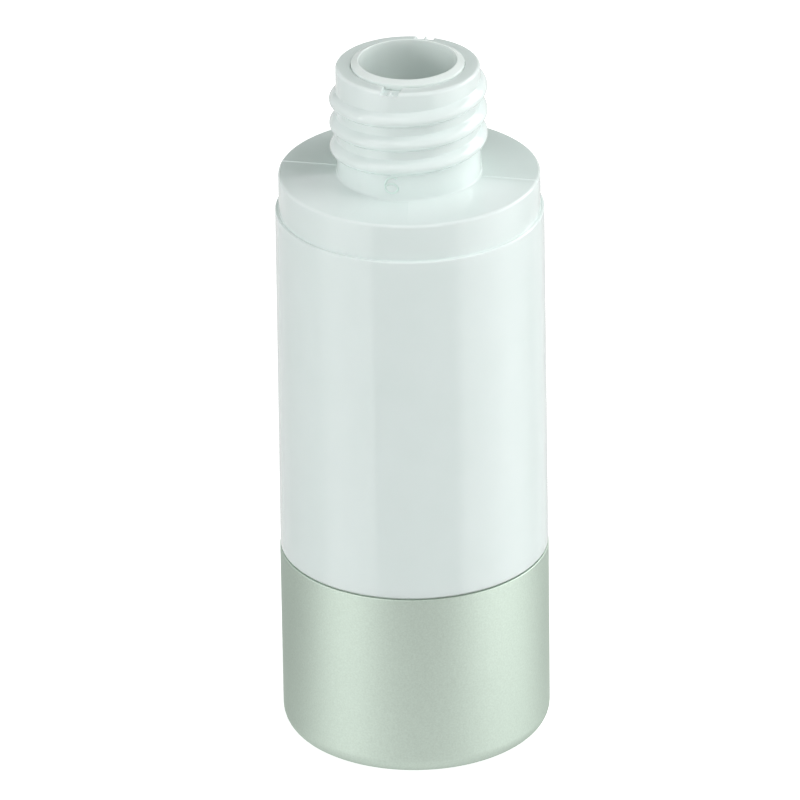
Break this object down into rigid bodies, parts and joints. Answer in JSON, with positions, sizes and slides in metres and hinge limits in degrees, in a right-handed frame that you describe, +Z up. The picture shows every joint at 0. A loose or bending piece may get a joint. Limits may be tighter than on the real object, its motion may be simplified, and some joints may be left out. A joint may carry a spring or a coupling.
{
  "type": "airless pump bottle",
  "caption": "Round double-walled airless bottle with a threaded neck, a spigot for an overcap, a satin metal base and a follower piston that slides up inside.",
  "frame": {"origin": "centre of the foot, on the surface that the bottle stands on", "axes": "+Z up along the bottle's axis, out of the mouth; the two lip notches lie on the Y axis, and the mould's parting line on the X axis"},
  "size_m": [0.0338, 0.0338, 0.0908],
  "materials": {
    "shell_metal": "satin anodised, fine grain",
    "insert_plastic": "moulded polypropylene",
    "outer_plastic": "high-gloss moulded white",
    "inner_plastic": "moulded polypropylene, semi-gloss white",
    "piston_plastic": "moulded polyethylene, soft satin"
  },
  "bodies": {
    "bottle": {"base_shell": "shell_metal", "base_insert": "insert_plastic", "outer_bottle": "outer_plastic", "inner_bottle": "inner_plastic"},
    "piston": {"piston": "piston_plastic"}
  },
  "joints": [
    {"name": "piston_rise", "type": "slide", "parent": "bottle", "child": "piston", "axis": [0, 0, 1], "range_m": [0, 0.0566]}
  ]
}
